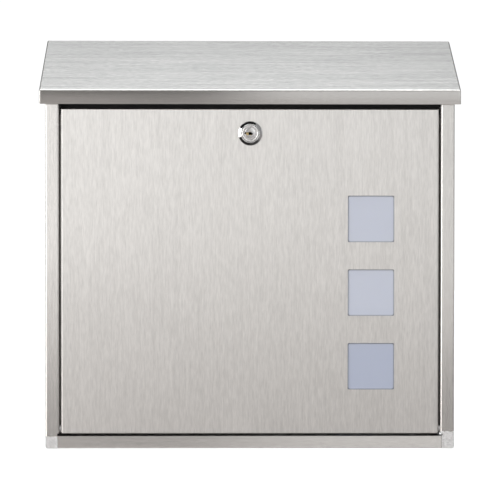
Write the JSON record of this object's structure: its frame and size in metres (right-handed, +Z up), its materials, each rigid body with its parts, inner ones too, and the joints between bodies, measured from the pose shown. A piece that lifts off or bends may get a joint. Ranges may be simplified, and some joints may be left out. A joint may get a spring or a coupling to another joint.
{
  "type": "wall mounted mailbox",
  "caption": "Flat folded-sheet mailbox for a wall: sloping lift-up roof lid, drop-down front door with frosted square windows and a round cam lock.",
  "frame": {"origin": "middle of the back panel's rear face, on the wall, 180 mm above the underside of the box", "axes": "+Z up, +X to the right for a person facing the door, +Y into the wall, so the door and the lid's lip face -Y"},
  "size_m": [0.38, 0.111, 0.3751],
  "materials": {
    "steel_body": "brushed, satin, vertical grain",
    "steel_door": "brushed, satin, vertical grain",
    "steel_lid": "brushed, satin, grain across the width",
    "steel_plate": "mill finish, matt",
    "lock_chrome": "polished",
    "lock_satin": "satin nickel",
    "zinc": "bright zinc plating",
    "brass": "stamped, bare",
    "acrylic": "frosted, translucent",
    "rubber": "matt",
    "nylon": "natural, matt"
  },
  "bodies": {
    "box": {"back_panel": "steel_plate", "bottom_panel": "steel_body", "door_bumper_left": "rubber", "door_bumper_right": "rubber", "door_pivot_pin_left": "zinc", "door_pivot_pin_right": "zinc", "door_pivot_washer_left": "nylon", "door_pivot_washer_right": "nylon", "lid_rest_left": "rubber", "lid_rest_right": "rubber", "seal_strip": "rubber", "side_panel_left": "steel_body", "side_panel_right": "steel_body", "top_front_rail": "steel_plate"},
    "lid": {"lid_pivot_clip_left": "zinc", "lid_pivot_clip_right": "zinc", "lid_pivot_pin_left": "zinc", "lid_pivot_pin_right": "zinc", "lid_pivot_spacer_left": "nylon", "lid_pivot_spacer_right": "nylon", "lid_shell": "steel_lid"},
    "door": {"door_panel": "steel_door", "lock_housing": "lock_chrome", "lock_nut": "zinc", "lock_washer": "zinc", "window_nut_1": "zinc", "window_nut_2": "zinc", "window_nut_3": "zinc", "window_nut_4": "zinc", "window_pane": "acrylic", "window_retainer": "steel_plate", "window_stud_1": "zinc", "window_stud_2": "zinc", "window_stud_3": "zinc", "window_stud_4": "zinc"},
    "lock_plug": {"lock_cam": "zinc", "lock_cam_screw": "zinc", "lock_cam_washer": "zinc", "lock_plug": "lock_satin", "lock_wafer_1": "brass", "lock_wafer_2": "brass", "lock_wafer_3": "brass", "lock_wafer_4": "brass"}
  },
  "joints": [
    {"name": "lid_hinge", "type": "hinge", "parent": "box", "child": "lid", "pos_m": [0, -0.013, 0.1852], "axis": [-1, 0, 0], "range_deg": [0, 75]},
    {"name": "door_hinge", "type": "hinge", "parent": "box", "child": "door", "pos_m": [0, -0.1017, -0.162], "axis": [1, 0, 0], "range_deg": [0, 100]},
    {"name": "lock_turn", "type": "hinge", "parent": "door", "child": "lock_plug", "pos_m": [0, -0.105, 0.105], "axis": [0, 1, 0], "range_deg": [0, 90]}
  ]
}
